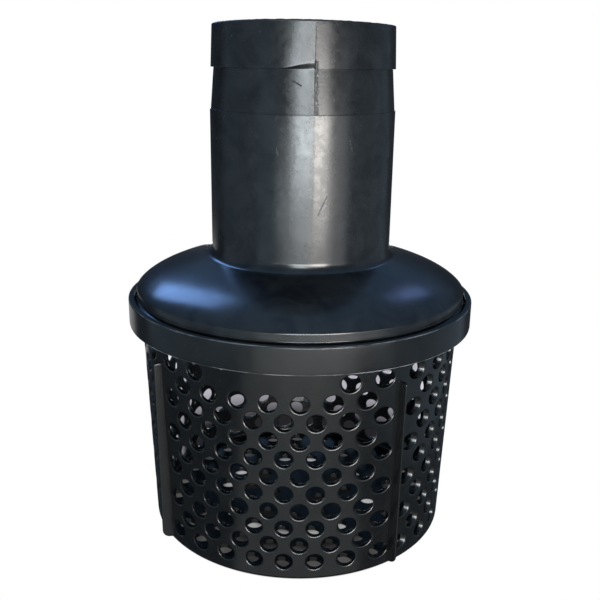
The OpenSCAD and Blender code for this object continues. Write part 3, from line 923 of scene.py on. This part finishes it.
def make_screws():
    """Self-tapping screws with pan heads, cross recesses and coarse threads, heads downwards."""
    b = Builder()
    head_z = screws_low.z
    tip_z = screws_high.z
    head_r, head_h, flat_r = 4.0, 2.8, 2.7
    slot_w, slot_l, slot_deep = 0.55, 2.1, 1.3
    cross = []
    for quarter in range(4):
        a = math.radians(90 * quarter)
        for x, y in ((slot_l, -slot_w), (slot_l, slot_w), (slot_w, slot_w)):
            cross.append((x * math.cos(a) - y * math.sin(a), x * math.sin(a) + y * math.cos(a)))
    sides = 48
    points = [Vector(p) for p in circle_points(flat_r, sides) + cross]
    edges = [(k, (k + 1) % sides) for k in range(sides)]
    edges += [(sides + k, sides + (k + 1) % len(cross)) for k in range(len(cross))]
    out, _, faces, sources, _, _ = delaunay_2d_cdt(points, edges, [], 0, 1e-5)
    where = {source: v for v, listed in enumerate(sources) for source in listed}
    slot_turn = 37

    def in_cross(p):
        x, y = abs(p.x), abs(p.y)
        return min(x, y) < slot_w and max(x, y) < slot_l

    for k in range(SCREWS):
        centre = Vector(around(BOSS_PITCH_R, (k + 0.5) * 360 / SCREWS, 0)).xy
        turn = Matrix.Rotation(math.radians(slot_turn * k), 2)
        top = [b.add((*(centre + turn @ p), head_z)) for p in out]
        deep = [b.add((*(centre + turn @ (Vector(p) * 0.8)), head_z + slot_deep)) for p in cross]
        for f in faces:
            if not in_cross(sum((out[v] for v in f), Vector((0, 0))) / len(f)):
                b.faces.append(tuple(top[v] for v in f))
        mouth = [top[where[sides + n]] for n in range(len(cross))]
        b.strip(mouth, deep)
        b.faces.append(tuple(deep))
        dome = arc((flat_r, head_z + 1.3), 1.3, -90, 0, 6)
        rows = plain_rows(b, [*dome, (head_r, head_z + head_h - 0.2), (head_r - 0.2, head_z + head_h),
                              (2.0, head_z + head_h)], centre, sides)
        rim = [b.add((*(centre + turn @ p), head_z)) for p in points[:sides]]
        shift = round(slot_turn * k / 360 * sides)
        b.strip(rim, [rows[0][(s + shift) % sides] for s in range(sides)])
        rows += threaded_rows(b, head_z + head_h + 0.2, tip_z - 3, 2.0, 0.5, 1.6, centre, sides, 0.6)
        rows += plain_rows(b, [(1.5, tip_z - 2.6), (0.3, tip_z)], centre, sides)
        b.skin(rows)
        b.faces.append(tuple(rows[-1]))
    return b.make("seat_screws_turned")


def make_spring():
    """Closing spring: round wire, closed end turns, and ground ends."""
    b = Builder()
    sides = 14
    per_turn = 56
    low = spring_low.z + WIRE_R
    high = spring_high.z - WIRE_R
    rise = 2 * WIRE_R * 1.1
    rows = []
    for k in range(SPRING_TURNS * per_turn + 1):
        turns = k / per_turn
        if turns < 1:
            z = low + turns * rise
        elif turns > SPRING_TURNS - 1:
            z = high - (SPRING_TURNS - turns) * rise
        else:
            z = low + rise + (turns - 1) / (SPRING_TURNS - 2) * (high - low - 2 * rise)
        a = 2 * math.pi * turns
        row = []
        for s in range(sides):
            w = 2 * math.pi * s / sides
            r = SPRING_R + WIRE_R * math.cos(w)
            wire_z = z + WIRE_R * math.sin(w)
            row.append(b.add((r * math.cos(a), r * math.sin(a), wire_z)))
        rows.append(row)
    b.skin(rows)
    b.faces += [tuple(reversed(rows[0])), tuple(rows[-1])]
    return b.make("closing_spring_wire", sharp=50)


# ---------------------------------------------------------------- the pieces

# Scratches on the tail: both ends as (angle, height), the width, and the depth, below 0 for a pale one
TAIL_SCRATCHES = (
    ((MOULD_LINE + 0.8, 297.5), (MOULD_LINE + 1.2, 269.8), 1.10, -0.9),
    ((MOULD_LINE, 297.5), (MOULD_LINE, 269.8), 0.26, 0.5),
    ((3.5, 287.5), (8.6, 284.9), 0.38, 0.9),
    ((24.5, 224.6), (19.4, 213.4), 0.25, 0.5),
    ((38.0, 255.5), (39.5, 249.0), 0.22, -0.5),
    ((-5.0, 250.6), (-4.0, 247.0), 0.30, -0.6),
    ((0.5, 246.5), (1.4, 241.0), 0.20, -0.4),
    ((-2.4, 261.0), (-0.8, 265.5), 0.20, -0.4)
)
black_pp = moulded_plastic(
    "black_pp_moulded", (0.0035, 0.004, 0.005), (0.012, 0.0135, 0.0145), 0.22,
    scratches=TAIL_SCRATCHES
)
# The basket's second pale line, along the collar's top edge, is a painted highlight
basket_pp = moulded_plastic(
    "black_pp_basket_moulded", (0.004, 0.0045, 0.005), (0.007, 0.0075, 0.0075), 0.20,
    burrs_and_highlights=((COLLAR_R - 1.5, COLLAR_LOW - 0.1, 1.0), (COLLAR_R - 0.7, COLLAR_TOP - 0.1, 0.5)), dust=0.35
)
seal_rubber = rubber("nitrile_rubber")
steel = turned_metal("stainless_turned", (0.40, 0.40, 0.39), (0.64, 0.64, 0.62), 0.24, 0.35)
brass = turned_metal("brass_turned", (0.50, 0.34, 0.13), (0.72, 0.53, 0.25), 0.22, 0.30)
wire = wire_metal("spring_wire")

bell = finish_piece(make_upper_body(), "housing", "black_pp", black_pp, "upper_body")
basket = finish_piece(make_basket(), "housing", "black_pp_basket", basket_pp, "strainer_basket")
finish_piece(make_stem(), "poppet", "stainless", steel, "valve_stem")
finish_piece(make_screws(), "housing", "stainless", steel, "seat_screws")
spring = finish_piece(make_spring(), "housing", "stainless", wire, "closing_spring")
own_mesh(spring)

# The CAD pieces that stay get their materials, and softened edges where an edge is square
for name, material, bevel in (
    ("seat_plate", basket_pp, 0.5), ("body_gasket", seal_rubber, 0.3), ("disc_rubber", seal_rubber, 0.5),
    ("valve_disc", black_pp, 0.5), ("clamp_plate", steel, 0.4), ("top_washer", steel, 0.25),
    ("top_nut", steel, 0.25), ("spring_cup", steel, 0.25), ("lift_stop_sleeve", brass, 0.25),
    ("guide_bush", brass, 0.25), ("lower_washer", steel, 0.25), ("lock_nut", steel, 0.25),
    ("screw_washers", steel, 0.2)
):
    node = NODES[name]
    node.data.materials.clear()
    node.data.materials.append(material)
    weld = node.modifiers.new("join_points", "WELD")
    weld.merge_threshold = 0.005 * MM
    soft = node.modifiers.new("soft_edges", "BEVEL")
    soft.width = bevel * MM
    soft.segments = 2
    soft.angle_limit = math.radians(40)
    soft.harden_normals = True


# ---------------------------------------------------------------- floor, light and camera

CAMERA_TURN = 9.69
CAMERA_PLACE = (0.0851, -0.4982, 0.2993)


def add_floor_sheet():
    """White floor with the valve's shade behind and under it. It can't be seen from below."""
    tree = Tree(bpy.data.materials.new("studio_floor_paper"))
    away = tree.vector("LENGTH", tree.place)
    turn = math.radians(CAMERA_TURN)
    camera_away = 0.505
    base_r = 0.0965
    ring_r = 0.0505
    behind = tree.vector("DOT_PRODUCT", tree.place, (-math.sin(turn), math.cos(turn), 0))
    across = tree.vector("DOT_PRODUCT", tree.place, (math.cos(turn), math.sin(turn), 0))
    spread = tree.math("DIVIDE", tree.math("ABSOLUTE", across), tree.plus(behind, camera_away))
    shade = tree.times(tree.level(spread, 0.155, 0.188, 1, 0), tree.level(behind, 0, 0.06))
    shade = tree.times(shade, tree.level(away, 0.28, 0.40, 1, 0))
    dim = tree.level(away, 0.135, 0.20, 0.02, 0.5)
    strength = tree.plus(tree.times(shade, tree.math("SUBTRACT", dim, 1.0)), 1.0)
    color = tree.mix(shade, (1, 1, 1), (0.92, 0.89, 1.0))

    # Under the basket a ring is lit by light that comes down through the perforated wall
    off_ring = tree.math("ABSOLUTE", tree.math("SUBTRACT", away, ring_r))
    ring = tree.level(off_ring, 0.003, 0.008, 0.40, 0.010)
    ring = tree.plus(ring, tree.level(away, 0.060, 0.072, 0, 0.075))
    patchy = tree.level(tree.noise(30, 2), 0.35, 0.6, 0.4, 1.0)
    under = tree.level(away, base_r - 0.003, base_r, 1, 0)
    lit = tree.times(tree.times(ring, patchy), under)
    strength = tree.plus(tree.times(strength, tree.math("SUBTRACT", 1.0, under)), lit)

    glow = tree.node("ShaderNodeEmission")
    tree.join(color, glow.inputs["Color"])
    tree.join(strength, glow.inputs["Strength"])
    paper = tree.node("ShaderNodeBsdfDiffuse")
    paper.inputs["Color"].default_value = (0.3, 0.3, 0.3, 1)
    camera_ray = tree.node("ShaderNodeLightPath").outputs["Is Camera Ray"]
    seen = tree.either(camera_ray, paper.outputs[0], glow.outputs[0])
    from_below = tree.node("ShaderNodeNewGeometry").outputs["Backfacing"]
    sheet = tree.either(from_below, seen, tree.node("ShaderNodeBsdfTransparent").outputs[0])
    tree.join(sheet, tree.node("ShaderNodeOutputMaterial").inputs["Surface"])

    reach = 6.0
    mesh = bpy.data.meshes.new("studio_floor")
    corners = [(-reach, -reach, 0), (reach, -reach, 0), (reach, reach, 0), (-reach, reach, 0)]
    mesh.from_pydata(corners, [], [(0, 1, 2, 3)])
    mesh.materials.append(tree.owner)
    floor = in_scene("studio_floor", mesh)
    floor.location.z = -0.0003
    floor.visible_glossy = False
    floor.visible_shadow = False


MIDDLE = Vector((0, 0, 0.2))


def softbox(name, angle, height, distance, width, tall, radiance, color, only=None):
    """A softbox seen from the middle of the valve at an angle from the front and a height above level.

    Its width and its tall side are given in degrees as seen from there. It may light only one piece.
    """
    a, h = math.radians(angle), math.radians(height)
    towards = Vector((math.sin(a) * math.cos(h), -math.cos(a) * math.cos(h), math.sin(h)))
    light = bpy.data.lights.new(name, "AREA")
    light.shape = "RECTANGLE"
    light.size = 2 * distance * math.tan(math.radians(width / 2))
    light.size_y = 2 * distance * math.tan(math.radians(tall / 2))
    light.energy = radiance * math.pi * light.size * light.size_y
    light.color = color
    lamp = in_scene(name, light)
    lamp.location = MIDDLE + towards * distance
    lamp.rotation_euler = towards.to_track_quat("Z", "Y").to_euler()
    lamp.visible_camera = False
    if only:
        lit = bpy.data.collections.new("lit_by_" + name)
        lit.objects.link(only)
        lamp.light_linking.receiver_collection = lit


def add_lights():
    """Softboxes in front, dim ones at the sides and low down, and sky light and fill from behind."""
    softbox("front_cool", 9, -2.6, 1.6, 21, 10, 22, (0.88, 0.96, 1.0))
    softbox("front_lip", 6, 5.5, 1.6, 10, 4, 5, (0.86, 0.96, 1.0))
    softbox("front_cool_high", 10, 12.5, 1.6, 17, 9.5, 15, (0.88, 0.96, 1.0))
    softbox("front_warm", 31, -2.0, 1.6, 20, 15, 27, (1.0, 0.96, 0.91))
    softbox("front_warm_high", 31, 10, 1.6, 20, 10, 3.6, (1.0, 0.98, 0.96))
    softbox("front_left", -11, -8.5, 1.6, 18, 5, 5, (0.84, 0.96, 1.0))
    softbox("front_right", 54, -6, 1.6, 24, 26, 1.9, (0.95, 0.97, 1.0))
    softbox("left_side", -62, -3, 1.6, 80, 46, 0.30, (0.55, 0.80, 1.0))
    softbox("left_far", -32, -4, 1.6, 26, 30, 0.4, (0.55, 0.85, 1.0))
    softbox("right_side", 100, -8, 1.6, 84, 50, 0.25, (0.58, 0.80, 1.0))
    softbox("ground_far", 18, -16, 1.6, 60, 8, 1.5, (0.95, 0.98, 1.0))
    softbox("ground_middle", 12, -23, 1.5, 56, 6, 1.2, (0.94, 0.99, 1.0))
    softbox("ground_near", 10, -42, 1.4, 70, 32, 0.40, (0.95, 1.0, 0.98))
    softbox("sky_left", -130, 38, 1.7, 15, 31, 7.0, (0.24, 0.46, 1.0), bell)
    softbox("sky_right", 155, 37, 1.7, 7, 13, 2.5, (0.30, 0.45, 1.0), bell)
    softbox("back_ground", -158, -19, 1.6, 60, 12, 0.45, (1.0, 1.0, 0.96))
    softbox("back_high", 190, 2, 1.6, 20, 26, 8.0, (0.93, 0.97, 1.0), bell)
    softbox("back_low", 190, -12, 1.6, 20, 14, 4.0, (0.93, 0.97, 1.0), basket)


def add_world():
    """White to the camera. As light: dim ground below and a blue sky, which is brightest overhead."""
    tree = Tree(bpy.data.worlds.new("studio"), "Generated")
    bpy.context.scene.world = tree.owner
    white = tree.node("ShaderNodeBackground")
    white.inputs["Color"].default_value = (1, 1, 1, 1)
    sky = tree.node("ShaderNodeValToRGB")
    stops = (
        (0.0, (0.040, 0.045, 0.050)), (0.60, (0.030, 0.038, 0.050)), (0.72, (0.11, 0.20, 0.33)),
        (0.85, (0.12, 0.22, 0.37)), (0.96, (0.22, 0.38, 0.58))
    )
    while len(sky.color_ramp.elements) < len(stops):
        sky.color_ramp.elements.new(0.5)
    for element, (position, color) in zip(sky.color_ramp.elements, stops):
        element.position = position
        element.color = (*color, 1)
    tree.join(tree.math("MULTIPLY_ADD", tree.axes()["Z"], 0.5, 0.5), sky.inputs[0])
    ambient = tree.node("ShaderNodeBackground")
    tree.join(sky.outputs[0], ambient.inputs["Color"])
    camera_ray = tree.node("ShaderNodeLightPath").outputs["Is Camera Ray"]
    seen = tree.either(camera_ray, ambient.outputs[0], white.outputs[0])
    tree.join(seen, tree.node("ShaderNodeOutputWorld").inputs["Surface"])


add_floor_sheet()
add_lights()
add_world()
bpy.context.scene.view_settings.view_transform = "Standard"


def add_camera():
    """The camera of the main view: where it stands, the way it faces, and its small roll."""
    turn, down, roll = math.radians(CAMERA_TURN), math.radians(16.89), math.radians(0.81)
    forward = Vector((-math.sin(turn) * math.cos(down), math.cos(turn) * math.cos(down), -math.sin(down)))
    right = Vector((math.cos(turn), math.sin(turn), 0))
    up = right.cross(forward)
    right, up = (
        right * math.cos(roll) + up * math.sin(roll),
        up * math.cos(roll) - right * math.sin(roll)
    )
    camera = in_scene("camera", bpy.data.cameras.new("camera"))
    camera.data.lens = 47.8
    camera.data.sensor_width = 36
    camera.data.clip_start = 0.01
    camera.matrix_world = Matrix((
        (right.x, up.x, -forward.x, CAMERA_PLACE[0]),
        (right.y, up.y, -forward.y, CAMERA_PLACE[1]),
        (right.z, up.z, -forward.z, CAMERA_PLACE[2]),
        (0, 0, 0, 1)
    ))
    bpy.context.scene.camera = camera


add_camera()
